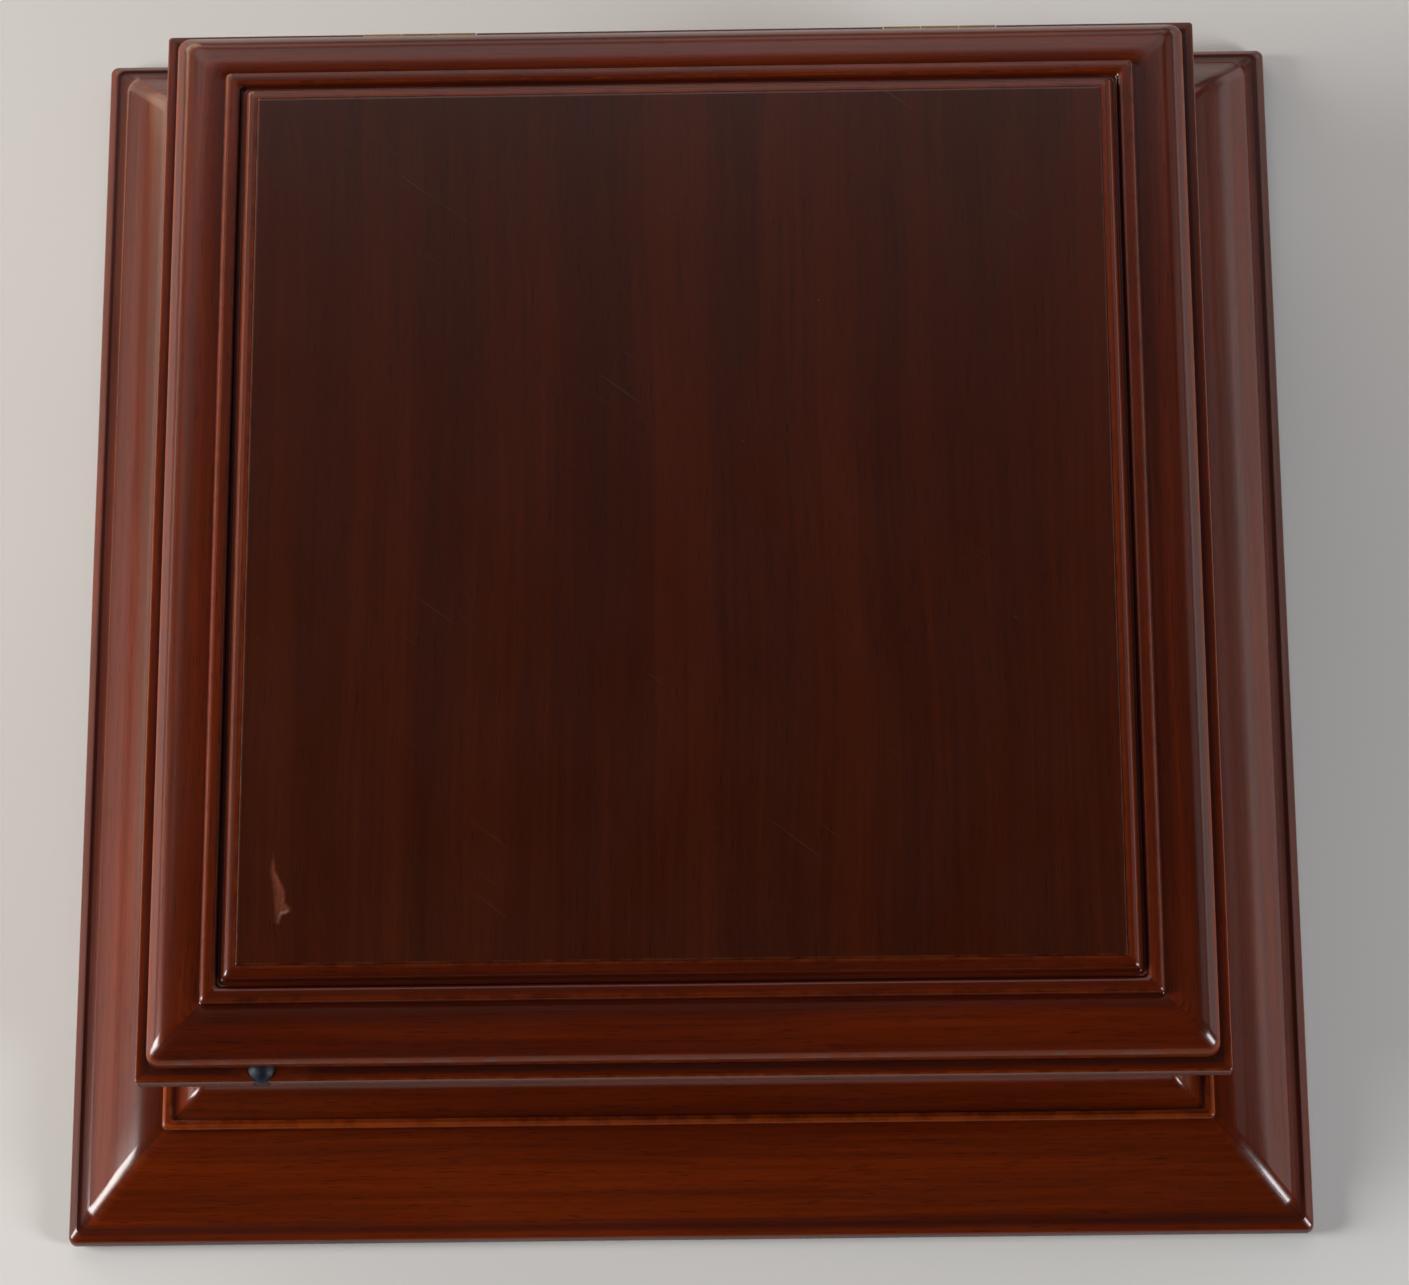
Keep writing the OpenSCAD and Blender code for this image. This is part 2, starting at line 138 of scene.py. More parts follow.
BASE = outline([
    (WALL_OUT, BASE_UNDER), (BASE_OUT, BASE_UNDER, 0.3), (BASE_OUT, BASE_UNDER + 2.5, 1.8),
    (BASE_OUT - 2.2, BASE_UNDER + 4.6, 0.5), (BASE_OUT - 3.2, 6, 1), (BASE_OUT - 5.4, 6.9, 3),
    (37.5, (BASE_TOP + 6.2) / 2 + 0.45, 40), (30, BASE_TOP - 0.7, 14), (BEAD_OUT + 0.6, BASE_TOP),
    (WALL_OUT, BASE_TOP),
])

# ---------------------------------------------------------------- shader helpers


class Shader:
    """One node material, with short calls for the nodes that it is made of."""

    def __init__(self, name, **constants):
        self.material = bpy.data.materials.new(name)
        self.material.use_nodes = True
        self.tree = self.material.node_tree
        self.surface = self.tree.nodes["Principled BSDF"]
        for key, value in constants.items():
            self.surface.inputs[key.replace("_", " ")].default_value = value

    def node(self, kind, *values, out=0, **settings):
        n = self.tree.nodes.new(kind)
        for key, value in settings.items():
            setattr(n, key, value)
        for i, value in enumerate(values):
            self.put(n.inputs[i], value)
        return n.outputs[out]

    def put(self, socket, value):
        """Links or sets a socket; None leaves it as it is."""
        if isinstance(value, bpy.types.NodeSocket):
            self.tree.links.new(value, socket)
        elif value is not None:
            socket.default_value = value

    def link(self, name, value):
        self.put(self.surface.inputs[name], value)

    def attribute(self, name, vector=False):
        """A value that is stored in the mesh."""
        return self.node("ShaderNodeAttribute", attribute_name=name, out=1 if vector else 2)

    def place(self):
        """Where the point is on the object, in metres."""
        return self.node("ShaderNodeTexCoord", out=3)

    def stretch(self, vector, scale, shift=(0, 0, 0)):
        scaled = self.node("ShaderNodeVectorMath", vector, scale, operation="MULTIPLY")
        return self.node("ShaderNodeVectorMath", scaled, shift, operation="ADD")

    def noise(self, vector, scale=1.0, detail=2.0, rough=0.5, bend=0.0):
        n = self.tree.nodes.new("ShaderNodeTexNoise")
        for key, value in {"Vector": vector, "Scale": scale, "Detail": detail, "Roughness": rough,
                           "Distortion": bend}.items():
            self.put(n.inputs[key], value)
        return n.outputs[0]

    def cells(self, vector, scale=1.0, feature="F1"):
        n = self.tree.nodes.new("ShaderNodeTexVoronoi")
        n.feature = feature
        self.put(n.inputs["Vector"], vector)
        self.put(n.inputs["Scale"], scale)
        return n.outputs["Distance"]

    def math(self, operation, a, b=None, clamp=False):
        return self.node("ShaderNodeMath", a, b, operation=operation, use_clamp=clamp)

    def span(self, value, low, high, to_low=0.0, to_high=1.0):
        """Takes value from low..high to to_low..to_high on a smooth curve, and holds it at the ends."""
        n = self.tree.nodes.new("ShaderNodeMapRange")
        n.interpolation_type = "SMOOTHSTEP"
        for key, given in {"Value": value, "From Min": low, "From Max": high, "To Min": to_low,
                           "To Max": to_high}.items():
            self.put(n.inputs[key], given)
        return n.outputs[0]

    def mix(self, factor, a, b, blend="MIX"):
        n = self.tree.nodes.new("ShaderNodeMix")
        n.data_type = "RGBA"
        n.blend_type = blend
        for i, value in ((0, factor), (6, a), (7, b)):
            self.put(n.inputs[i], (*value, 1) if isinstance(value, tuple) and len(value) == 3 else value)
        return n.outputs[2]

    def ramp(self, factor, *stops):
        n = self.tree.nodes.new("ShaderNodeValToRGB")
        self.put(n.inputs[0], factor)
        elements = n.color_ramp.elements
        while len(elements) < len(stops):
            elements.new(1)
        for element, (at, colour) in zip(elements, stops):
            element.position = at
            element.color = (*colour, 1)
        return n.outputs[0]

    def bump(self, height, distance, strength=1.0, onto=None):
        n = self.tree.nodes.new("ShaderNodeBump")
        for key, value in {"Height": height, "Distance": distance, "Strength": strength,
                           "Normal": onto}.items():
            self.put(n.inputs[key], value)
        return n.outputs[0]


# ---------------------------------------------------------------- materials


def mahogany(name, dark, mid, light, worn, flecks=0.5):
    """Stained mahogany under lacquer: figure, streaks and pores along the grain, worn arrises, and painted
    shade in the quirks. The mesh's grain runs along X. Its relief is 1 on an arris and -1 in a quirk; up to
    twice that where wear and painted light make the wood lighter in the worn colour, and down to minus twice
    that where painted shade makes it near-black. Its stain darkens the whole piece."""
    s = Shader(name, Coat_Roughness=0.2, Coat_IOR=1.5, Specular_IOR_Level=0.06)
    grain = s.attribute("grain", vector=True)
    drift = s.noise(grain, 9, 1)
    sway = s.math("MULTIPLY", drift, 0.006)
    push = s.node("ShaderNodeCombineXYZ", 0.0, sway, sway)
    along = s.node("ShaderNodeVectorMath", grain, push, operation="ADD")
    band = s.noise(s.stretch(along, (2.5, 75, 75)), 1, 2)
    streak = s.noise(s.stretch(along, (11, 620, 620)), 1, 4, 0.6)
    figure = s.math("ADD", s.math("MULTIPLY", band, 0.6), s.math("MULTIPLY", streak, 0.4))
    wood = s.ramp(s.span(figure, 0.30, 0.70), (0.0, dark), (0.5, mid), (1.0, light))
    cloud = s.noise(grain, 14, 3)
    wood = s.mix(s.span(cloud, 0.3, 0.7, 0.0, 0.25), wood, s.mix(1.0, wood, (0.6, 0.5, 0.5), "MULTIPLY"))

    pore = s.span(s.noise(s.stretch(along, (130, 2900, 2900)), 1, 1), 0.60, 0.70)
    wood = s.mix(s.math("MULTIPLY", pore, flecks), wood, s.mix(1.0, wood, (0.25, 0.2, 0.2), "MULTIPLY"))

    relief = s.attribute("relief")
    rub = s.span(s.noise(grain, 180, 3, 0.65), 0.35, 0.62)
    # Rubbed wear on the arrises, and painted light where the relief goes past 1, both in the worn colour.
    wear_and_painted_light = s.math("MULTIPLY", s.span(relief, 0.45, 1.0), s.math("MULTIPLY", rub, 0.38))
    wear_and_painted_light = s.math("ADD", wear_and_painted_light, s.span(relief, 1.0, 2.0, 0.0, 0.5))
    wood = s.mix(wear_and_painted_light, wood, worn)
    # Painted shade: mottled darkening in the quirks, near-black where the relief goes below -1, in the colour
    # below.
    painted_shade = s.math("MULTIPLY", s.span(relief, -0.3, -1.0), s.span(s.noise(grain, 60, 2), 0.2, 0.6, 0.15, 0.4))
    painted_shade = s.math("MAXIMUM", painted_shade, s.span(relief, -1.0, -2.0, 0.0, 0.85))
    wood = s.mix(painted_shade, wood, (0.020, 0.006, 0.006))
    wood = s.mix(s.attribute("stain"), wood, s.mix(1.0, wood, (0.6, 0.5, 0.5), "MULTIPLY"))
    s.link("Base Color", wood)
    # The lacquer is duller under the wear, the painted light and the painted shade.
    s.link("Coat Weight", s.span(s.math("MAXIMUM", wear_and_painted_light, painted_shade), 0.15, 0.85, 1.0, 0.25))

    smear = s.noise(s.stretch(grain, (30, 60, 60)), 1, 3)
    s.link("Roughness", s.span(smear, 0.3, 0.7, 0.32, 0.5))
    s.link("Normal", s.bump(s.math("SUBTRACT", streak, pore), 0.00004, 0.6))
    orange_peel = s.bump(s.noise(grain, 420, 2), 0.00002, 0.5)
    s.link("Coat Normal", s.bump(pore, -0.000005, 0.4, onto=orange_peel))
    return s


def panel_mahogany():
    """The lid's face: darker stain, faint scratches and dust, a bruise, and bare wood in the chip."""
    s = mahogany("mahogany_panel_lacquer", (0.033, 0.0044, 0.0002), (0.043, 0.0058, 0.0002),
                 (0.059, 0.0078, 0.0003), (0.14, 0.038, 0.013), flecks=0.4)
    wood = s.surface.inputs["Base Color"].links[0].from_socket
    here = s.place()

    slant = s.node("ShaderNodeVectorRotate", here, None, None, math.radians(38), rotation_type="Z_AXIS")
    line = s.noise(s.stretch(slant, (22, 1700, 1)), 1, 0)
    sparse = s.span(s.noise(here, 26, 1), 0.55, 0.72)
    scratch = s.math("MULTIPLY", s.span(line, 0.76, 0.80), sparse)
    dust = s.span(s.cells(here, 170), 0.055, 0.02)
    dust = s.math("MULTIPLY", dust, s.span(s.noise(here, 40, 2), 0.52, 0.7))
    mark = s.math("MAXIMUM", s.math("MULTIPLY", scratch, 0.35), s.math("MULTIPLY", dust, 0.5))
    wood = s.mix(mark, wood, (0.11, 0.07, 0.055))

    chip = s.attribute("chip")
    torn = s.noise(s.stretch(here, (900, 120, 900)), 1, 3)
    bare = s.ramp(s.span(torn, 0.3, 0.7), (0.0, (0.110, 0.026, 0.010)), (1.0, (0.190, 0.050, 0.022)))
    wood = s.mix(chip, wood, bare)
    s.link("Base Color", s.mix(s.attribute("bruise"), wood, (0.10, 0.09, 0.10)))
    return s


def pine():
    """Bare planed softwood for the parts that the case hides."""
    s = Shader("bare_pine", Specular_IOR_Level=0.25)
    here = s.place()
    bend = s.noise(s.stretch(here, (9, 2.2, 9)), 1, 2)
    across = s.math("ADD", s.node("ShaderNodeSeparateXYZ", here, out=0), s.math("MULTIPLY", bend, 0.05))
    rings = s.math("SINE", s.math("MULTIPLY", across, 620.0))
    fibre = s.noise(s.stretch(here, (900, 24, 900)), 1, 3, 0.6)
    tone = s.math("ADD", s.math("MULTIPLY", rings, 0.22), fibre)
    wood = s.ramp(s.span(tone, 0.25, 0.85), (0.0, (0.52, 0.36, 0.19)), (0.6, (0.43, 0.26, 0.12)),
                  (1.0, (0.27, 0.135, 0.055)))
    stain = s.span(s.noise(here, 24, 4, 0.6), 0.5, 0.75, 0.0, 0.45)
    wood = s.mix(stain, wood, s.mix(1.0, wood, (0.5, 0.42, 0.34), "MULTIPLY"))
    s.link("Base Color", wood)
    s.link("Roughness", s.span(fibre, 0.3, 0.7, 0.62, 0.82))
    tear = s.noise(s.stretch(here, (40, 40, 500)), 1, 2)
    s.link("Normal", s.bump(tear, 0.0002, 0.25, onto=s.bump(fibre, 0.0001, 0.5)))
    return s


def metal(name, colour, tarnish, rough):
    """Brushed metal with darker, duller patches."""
    s = Shader(name, Metallic=1.0, Specular_IOR_Level=0.5)
    here = s.place()
    brush = s.noise(s.stretch(here, (300, 4200, 4200)), 1, 3, 0.6)
    patch = s.noise(here, 90, 4, 0.6)
    s.link("Base Color", s.mix(s.span(patch, 0.35, 0.75, 0.1, 0.5), colour, tarnish))
    s.link("Roughness", s.span(s.math("ADD", brush, patch), 0.7, 1.3, rough, rough + 0.25))
    s.link("Normal", s.bump(brush, 0.00002, 0.5))
    return s


def rubber():
    """Moulded blue-black rubber with a dusty bloom."""
    s = Shader("blue_black_rubber", Specular_IOR_Level=0.3)
    here = s.place()
    grit = s.noise(here, 2200, 3, 0.6)
    bloom = s.noise(here, 420, 3)
    s.link("Base Color", s.ramp(s.span(bloom, 0.35, 0.75), (0.0, (0.010, 0.013, 0.022)),
                                (0.7, (0.017, 0.024, 0.042)), (1.0, (0.05, 0.06, 0.085))))
    s.link("Roughness", s.span(bloom, 0.3, 0.7, 0.4, 0.6))
    s.link("Normal", s.bump(grit, 0.00006, 0.4))
    return s


def felt():
    """Green wool felt: matted fibres, lint and a soft nap."""
    s = Shader("green_wool_felt", Specular_IOR_Level=0.1, Sheen_Weight=0.6, Sheen_Roughness=0.6)
    s.surface.inputs["Sheen Tint"].default_value = (0.35, 0.6, 0.45, 1)
    here = s.place()
    mat = s.noise(here, 1500, 4, 0.7, 1.5)
    fibre = s.noise(s.stretch(here, (700, 2600, 1400)), 1, 2, 0.6, 3.0)
    worn = s.noise(here, 30, 4, 0.6)
    wool = s.ramp(s.span(mat, 0.3, 0.7), (0.0, (0.010, 0.040, 0.024)), (0.6, (0.020, 0.080, 0.048)),
                  (1.0, (0.045, 0.14, 0.085)))
    wool = s.mix(s.span(worn, 0.45, 0.7, 0.0, 0.5), wool, (0.045, 0.095, 0.06))
    lint = s.math("MULTIPLY", s.span(fibre, 0.66, 0.74), 0.5)
    wool = s.mix(lint, wool, (0.16, 0.2, 0.15))
    s.link("Base Color", wool)
    s.link("Roughness", s.span(mat, 0.3, 0.7, 0.85, 1.0))
    s.link("Normal", s.bump(s.math("ADD", mat, fibre), 0.0004, 0.7))
    return s


def blotting_paper():
    """Soft unsized paper, yellowed in clouds, with blurred blots and the backs of blotted lines."""
    s = Shader("blotting_paper", Specular_IOR_Level=0.12, Sheen_Weight=0.15, Sheen_Roughness=0.7)
    here = s.place()
    pulp = s.noise(here, 900, 4, 0.7)
    cloud = s.noise(here, 22, 3)
    paper = s.ramp(s.span(pulp, 0.3, 0.7), (0.0, (0.66, 0.60, 0.47)), (1.0, (0.80, 0.755, 0.63)))
    paper = s.mix(s.span(cloud, 0.4, 0.7, 0.0, 0.4), paper, (0.70, 0.62, 0.46))
    soak = s.noise(here, 420, 3, 0.6)
    wet = s.math("ADD", s.cells(here, 21), s.math("MULTIPLY", soak, 0.12))
    blot = s.math("MULTIPLY", s.span(wet, 0.17, 0.09), s.span(s.noise(here, 9, 1), 0.52, 0.6))
    stroke = s.noise(s.stretch(here, (260, 700, 1), (3, 5, 0)), 1, 1, 0.5, 0.8)
    rows = s.math("SINE", s.math("MULTIPLY", s.node("ShaderNodeSeparateXYZ", here, out=1), 700.0))
    stroke = s.math("MULTIPLY", s.span(stroke, 0.66, 0.72), s.span(rows, 0.1, 0.6))
    stroke = s.math("MULTIPLY", stroke, s.span(s.noise(here, 15, 1), 0.53, 0.64, 0.0, 0.55))
    inked = s.math("MAXIMUM", s.math("MULTIPLY", blot, 0.8), stroke)
    s.link("Base Color", s.mix(inked, paper, (0.035, 0.045, 0.11)))
    s.link("Roughness", s.span(pulp, 0.3, 0.7, 0.86, 0.98))
    s.link("Normal", s.bump(pulp, 0.00012, 0.5))
    return s


# The last colour, the worn one, also gives the painted light on the lid's outer face and the bead.
MOULDING = mahogany("mahogany_moulding_lacquer", (0.070, 0.0084, 0.0002), (0.110, 0.0122, 0.0003),
                    (0.170, 0.0200, 0.0005), (0.26, 0.045, 0.006)).material
PANEL = panel_mahogany().material
PINE = pine().material
BRASS = metal("aged_brass", (0.36, 0.22, 0.085), (0.09, 0.05, 0.022), 0.34).material
STEEL = metal("bright_steel", (0.58, 0.58, 0.60), (0.25, 0.23, 0.22), 0.25).material
RUBBER = rubber().material
FELT = felt().material
PAPER = blotting_paper().material

# ---------------------------------------------------------------- mesh helpers


def add_piece(name, mesh, material, body, slot, *nodes):
    """A finished piece: its material, the CAD body it rides on, and the CAD nodes it stands for."""
    mesh.materials.clear()
    mesh.materials.append(material)
    piece = bpy.data.objects.new(name, mesh)
    bpy.context.scene.collection.objects.link(piece)
    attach(piece, body)
    if nodes:
        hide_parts(*nodes)
    return piece


def set_attribute(mesh, name, values):
    """Stores a number or a vector for each point of a mesh."""
    kind, key = ("FLOAT_VECTOR", "vector") if isinstance(values[0], Vector) else ("FLOAT", "value")
    attribute = mesh.attributes.new(name, kind, "POINT")
    flat = [x for v in values for x in v] if key == "vector" else values
    attribute.data.foreach_set(key, flat)


def shade(mesh, angle=38):
    """Smooth shading, with sharp edges where faces meet at more than this many degrees."""
    mesh.shade_smooth()
    mesh.set_sharp_from_angle(angle=math.radians(angle))


def new_mesh(name, points, faces):
    """A mesh with faces turned outwards; end faces with many corners are cut into triangles."""
    mesh = bpy.data.meshes.new(name)
    mesh.from_pydata(points, [], faces)
    bm = bmesh.new()
    bm.from_mesh(mesh)
    bmesh.ops.recalc_face_normals(bm, faces=bm.faces)
    bmesh.ops.triangulate(bm, faces=[f for f in bm.faces if len(f.verts) > 4])
    bm.to_mesh(mesh)
    bm.free()
    return mesh


def joined(shapes):
    """Points and faces of several shapes as those of one."""
    points, faces = [], []
    for more, around in shapes:
        faces += [tuple(i + len(points) for i in face) for face in around]
        points += more
    return points, faces


def grid(nx, ny):
    """Corners of the cells of a grid of nx by ny points, row by row."""
    for j in range(ny - 1):
        for a in range(j * nx, j * nx + nx - 1):
            yield a, a + 1, a + nx + 1, a + nx


def border(nx, ny):
    """The points round the outside of such a grid, in order."""
    last = (ny - 1) * nx
    return [*range(nx), *range(2 * nx - 1, last + nx, nx), *range(last + nx - 2, last - 1, -1),
            *range(last - nx, 0, -nx)]


def reliefs(points, window=1.1 * MM):
    """For each point of a closed outline, 1 on a sharp arris, -1 in a sharp quirk, 0 where it is flat."""
    n = len(points)
    lengths = [(points[(i + 1) % n] - points[i]).length for i in range(n)]

    def walk(i, way):
        """The point a window's length away along the outline."""
        left = window
        while True:
            j = i if way > 0 else (i - 1) % n
            if lengths[j] >= left:
                ahead = points[(i + way) % n]
                return points[i].lerp(ahead, left / lengths[j])
            left -= lengths[j]
            i = (i + way) % n

    turning = sum(points[i].cross(points[(i + 1) % n]) for i in range(n))
    out = []
    for i, p in enumerate(points):
        a, b = walk(i, -1), walk(i, 1)
        bow = (p - a).cross(b - p) * math.copysign(1, turning)
        out.append(max(-1.0, min(1.0, bow / (window * window) / 0.7)))
    return out


# ---------------------------------------------------------------- mitred mouldings

CORNER_STEPS = 6
RUN_STEPS = 26
MITRE_GAP = 0.03 * MM


def stations():
    """(place along 0..1, corner turn in radians) from mitre to mitre."""
    left = [(0.0, math.radians(45) * (1 - k / CORNER_STEPS)) for k in range(CORNER_STEPS)]
    run = [(k / RUN_STEPS, 0.0) for k in range(RUN_STEPS + 1)]
    return left + run + [(1.0, turn) for _, turn in reversed(left)]


def moulding(group, profile, corner_r, painted_shade_and_light, side, body, seed, stain):
    """One mitred member of a frame, its outside swept along its side and round half of each corner.
    At a point of the outline corner_r gives how far the lacquered corner is rounded, and the next function how
    much painted shade it gets, or below zero how much lighter wear and painted light make it. Where that is
    zero, the bends of the outline decide, with painted shade in the quirks."""
    along, across = (HALF_W, HALF_D) if side in (BACK, FRONT) else (HALF_D, HALF_W)
    turn_side = Matrix.Rotation(math.radians(-90) * side, 3, "Z")
    draw = random.Random(seed)
    shift = Vector([draw.uniform(-3, 3) for _ in range(3)])
    # Relief is the negated shade value: below zero painted shade, past 1 wear and painted light, else the
    # outline's bend.
    relief = [-painted_shade_and_light(p) or bow for bow, p in zip(reliefs(profile), profile)]
    radii = [corner_r(p) for p in profile]
    points, grain, bulge = [], [], []
    for place, turn in stations():
        for p, arris, r in zip(profile, relief, radii):
            end = along + p.x - r * (1 - math.sin(turn)) - (MITRE_GAP if turn else 0)
            x = end * (2 * place - 1)
            y = across + p.x - r * (1 - math.cos(turn))
            waver = noise.noise(Vector((x * 22, seed, p.y * 30))) * 0.05 * MM
            points.append(turn_side @ Vector((x, y + waver, p.y)))
            grain.append(Vector((x, p.x, p.y)) + shift)
            bulge.append(arris)
    n, rows = len(profile), len(points) // len(profile)
    faces = [(r * n + i, r * n + (i + 1) % n, (r + 1) * n + (i + 1) % n, (r + 1) * n + i)
             for r in range(rows - 1) for i in range(n)]
    faces += [tuple(range(n)), tuple(range((rows - 1) * n, rows * n))]
    name = f"{group}_{SIDE_NAMES[side]}"
    mesh = new_mesh(name + "_wood", points, faces)
    set_attribute(mesh, "grain", grain)
    set_attribute(mesh, "relief", bulge)
    set_attribute(mesh, "stain", [stain] * len(points))
    shade(mesh)
    return add_piece(name + "_wood", mesh, MOULDING, body, "mahogany_moulding", name)


def frame_of(group, profile, corner_r, body, seed, painted_shade_and_light=lambda p: 0.0, stains=(0.0, 0.0, 0.0, 0.0)):
    """The four members in the order of SIDE_NAMES; stains says how much darker each of them is."""
    return [moulding(group, profile, corner_r, painted_shade_and_light, side, body, seed + side, stain)
            for side, stain in enumerate(stains)]


def lid_corner(p):
    """The steps round the panel are crisper at their corners than the big round."""
    return (1.2 if p.x < 10 * MM else 3.2) * MM


def base_corner(p):
    """So is the foot, compared with the slope."""
    return (2.0 if p.y < 6.2 * MM else 3.8) * MM


def lid_painted_shade_and_light(p):
    """Painted shade in the groove, the outer face painted lighter for wear and for light from the front, and
    painted shadow along the lower edge.
    """
    if 4.1 * MM < p.x < 5.3 * MM and p.y > (PANEL_TOP - 4) * MM:
        return 1.45
    if p.x > (FRAME_OUT - 0.9) * MM and p.y > (LID_UNDER + 0.8) * MM:
        return -1.6
    return 1.8 if p.y < (LID_UNDER + 0.15) * MM else 0.0


def rim_painted_shade(p):
    """Painted shade on the top, in the shadow of the lid."""
    return 1.7 if p.y > (RIM_TOP - 0.1) * MM and p.x < (RIM_OUT - 1.6) * MM else 0.0


def bead_wear_and_painted_light(p):
    """The bead is painted lighter along its top, for wear and for light from the front."""
    return -1.7 if p.x > (BEAD_OUT - 1.1) * MM and p.y > (BEAD_TOP - 0.9) * MM else 0.0


def base_painted_shade(p):
    """Painted shade in the quirk below the slope, and on the foot."""
    if BASE_OUT - 3.9 < p.x / MM < BASE_OUT - 2.0 and p.y > 4.5 * MM:
        return 1.6
    return 1.6 if p.y < (BASE_UNDER + 2.2) * MM else 0.0


lid_frame = frame_of("lid_frame", LID_FRAME, lid_corner, "lid", 11, lid_painted_shade_and_light, (0.2, 0.2, 0.65, 0.2))
rims = frame_of("rim", RIM, lambda p: 0.9 * MM, "case", 21, rim_painted_shade)
frame_of("wall", WALL, lambda p: 0.8 * MM, "case", 31)
frame_of("cove", COVE, lambda p: 1.5 * MM, "case", 41, bead_wear_and_painted_light)
bases = frame_of("base", BASE, base_corner, "case", 51, base_painted_shade)

# ---------------------------------------------------------------- recesses in the mouldings

CLEAR = 0.05 * MM


def carve(pieces, points_and_faces):
    """Cuts a closed shape out of finished pieces."""
    cutter = bpy.data.objects.new("cutter", new_mesh("cutter", *points_and_faces))
    bpy.context.scene.collection.objects.link(cutter)
    for piece in pieces:
        cut = piece.modifiers.new("cut", "BOOLEAN")
        cut.object, cut.operation, cut.solver = cutter, "DIFFERENCE", "EXACT"
        graph = bpy.context.evaluated_depsgraph_get()
        mesh = bpy.data.meshes.new_from_object(piece.evaluated_get(graph))
        piece.modifiers.clear()
        piece.data = mesh
        shade(mesh)
    bpy.data.objects.remove(cutter)


def block(low, high):
    """Points and faces of a box between two corners."""
    points = [Vector((x, y, z)) for z in (low.z, high.z) for y in (low.y, high.y) for x in (low.x, high.x)]
    return points, [(0, 2, 3, 1), (4, 5, 7, 6), (0, 1, 5, 4), (2, 6, 7, 3), (0, 4, 6, 2), (1, 3, 7, 5)]


def turned(rings, centre, axis, steps=36):
    """Points and faces of a closed turned shape, from rings of (place along the axis, radius)."""
    turn = Vector((0, 0, 1)).rotation_difference(Vector(axis)).to_matrix()
    points, faces = [], []
    for along, radius in rings:
        for k in range(steps):
            a = 2 * math.pi * k / steps
            points.append(centre + turn @ Vector((radius * math.cos(a), radius * math.sin(a), along)))
    for r in range(len(rings) - 1):
        faces += [(r * steps + k, r * steps + (k + 1) % steps, (r + 1) * steps + (k + 1) % steps,
                   (r + 1) * steps + k) for k in range(steps)]
    return points, faces + [tuple(range(steps)), tuple(range((len(rings) - 1) * steps, len(rings) * steps))]


def ball_rings(radius, count=22):
    """Rings of a ball, from just inside one pole to the other."""
    angles = [math.pi * (k + 0.5) / count for k in range(count)]
    return [(-radius * math.cos(a), radius * math.sin(a)) for a in angles]


bumper_low, bumper_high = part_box("front_bumper")
BUMPER_R = (bumper_high.x - bumper_low.x) / 2
BUMPER_AT = Vector((bumper_low.x + BUMPER_R, bumper_low.y + BUMPER_R, bumper_high.z - BUMPER_R))
SHANK_R = 1.5 * MM
SHANK_AT = BUMPER_AT.copy()
SHANK_AT.z = (RIM_UNDER + RIM_TOP) / 2 * MM
SHANK_LEN = bumper_high.y - BUMPER_AT.y
HINGE_LEN = 30 * MM
HINGE_LEAF_T = 1.05 * MM
KNUCKLE_ROOM = Vector((0.2, 0.3, 0.25)) * MM
PAST_EDGE = 5 * MM


def hinge_recesses():
    """Beds for the hinge leaves, and room in the rim for the knuckles."""
    axis_z = (LID_UNDER + RIM_TOP) / 2 * MM
    half_gap = (LID_UNDER - RIM_TOP) / 2 * MM
    leaves = (("lid_hinge_leaves", lid_frame[BACK], 1), ("case_hinge_leaves", rims[BACK], -1))
    for leaf, piece, way in leaves:
        low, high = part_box(leaf)
        seat = (LID_UNDER if way > 0 else RIM_TOP) * MM
        knuckle_r = high.z - axis_z if way < 0 else axis_z - low.z
        for middle in (high.x - HINGE_LEN / 2, low.x + HINGE_LEN / 2):
            a = Vector((middle - HINGE_LEN / 2 - CLEAR, low.y - CLEAR, 0))
            b = Vector((middle + HINGE_LEN / 2 + CLEAR, high.y + PAST_EDGE, 0))
            a.z, b.z = sorted((seat - way * MM, seat + way * (HINGE_LEAF_T - half_gap + CLEAR)))
            carve([piece], block(a, b))
            if way < 0:
                a = Vector((a.x, high.y - 2 * knuckle_r, axis_z - knuckle_r)) - KNUCKLE_ROOM
                carve([piece], block(a, b + Vector((KNUCKLE_ROOM.x, 0, 0))))


hinge_recesses()
carve([lid_frame[FRONT]], turned(ball_rings(BUMPER_R + 0.3 * MM), BUMPER_AT, (0, 1, 0)))
carve([rims[FRONT]], turned(ball_rings(BUMPER_R + CLEAR), BUMPER_AT, (0, 1, 0)))
shank_bore = [(0, SHANK_R + CLEAR), (SHANK_LEN + CLEAR, SHANK_R + CLEAR)]
carve([rims[FRONT]], turned(shank_bore, SHANK_AT, (0, 1, 0)))

# ---------------------------------------------------------------- lid panel

CHIP_AT = Vector((-103.2, -92.0)) * MM
CHIP_OUTLINE = [Vector(p) * MM for p in (
    (0.2, 0), (0.7, -4.2), (2.2, -7.2), (3.5, -10.3), (3.4, -12.8), (5.2, -15.2), (2.6, -16.2), (2.2, -18.6),
    (1.1, -18.2), (0.7, -12.5), (0.2, -8.5), (-0.4, -4),
)]
CHIP_DEPTH = 0.3 * MM
CHIP_EDGE = 0.8 * MM
BRUISE_AT = Vector((-49.5, 3.0)) * MM
BRUISE_R = 1.2 * MM


def inside(point, corners):
    """Signed distance into a closed outline, positive inside it."""
    crossings, nearest = False, 1e9
    for a, b in zip(corners, corners[1:] + corners[:1]):
        edge = b - a
        t = max(0.0, min(1.0, (point - a).dot(edge) / edge.length_squared))
        nearest = min(nearest, (a + edge * t - point).length)
        if (a.y > point.y) != (b.y > point.y):
            if point.x < a.x + (point.y - a.y) * edge.x / edge.y:
                crossings = not crossings
    return nearest if crossings else -nearest


